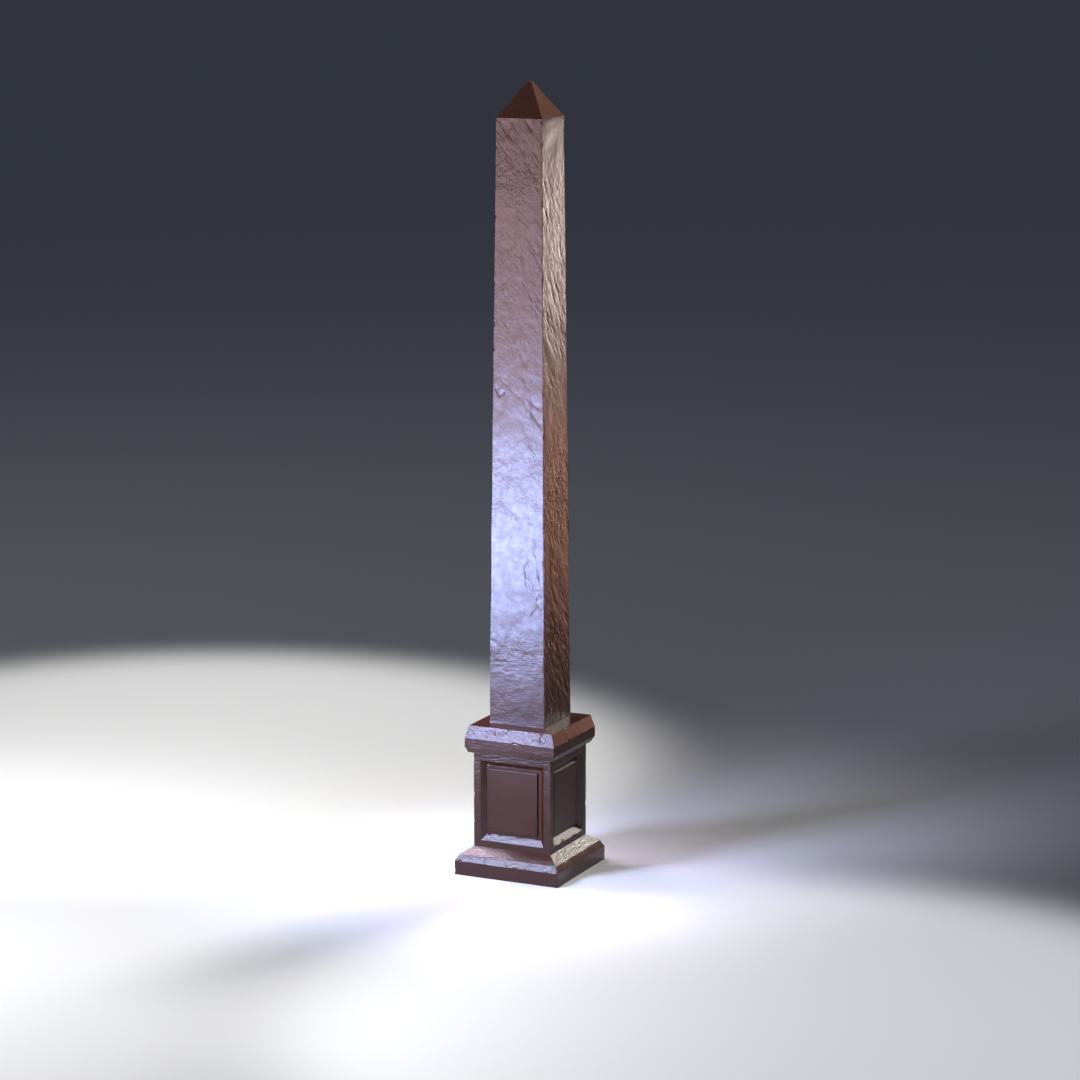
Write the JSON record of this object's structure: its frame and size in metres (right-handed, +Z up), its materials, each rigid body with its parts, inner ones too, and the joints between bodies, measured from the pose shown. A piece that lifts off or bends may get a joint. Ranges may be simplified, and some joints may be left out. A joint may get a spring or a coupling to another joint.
{
  "type": "miniature obelisk",
  "caption": "Tabletop model of an obelisk: a tapering square shaft with a pyramid tip, on a pedestal of plinth, panelled block and chamfered cap.",
  "frame": {"origin": "middle of the plinth's underside, on the table", "axes": "+Z up along the shaft, -Y out of the front, +X out of the right side"},
  "size_m": [0.025, 0.025, 0.1735],
  "materials": {
    "hewn_resin": "dark brown resin, satin, cast with a rough hewn stone surface",
    "dressed_resin": "dark brown resin, satin, cast with a tooled stone surface and crisp edges",
    "smooth_resin": "dark brown resin, satin and smooth"
  },
  "bodies": {
    "root": {"plinth": "dressed_resin", "pedestal_block": "dressed_resin", "pedestal_cap": "dressed_resin", "shaft": "hewn_resin", "pyramidion": "hewn_resin", "front_tablet": "smooth_resin", "right_tablet": "smooth_resin", "back_tablet": "smooth_resin", "left_tablet": "smooth_resin"}
  },
  "joints": []
}
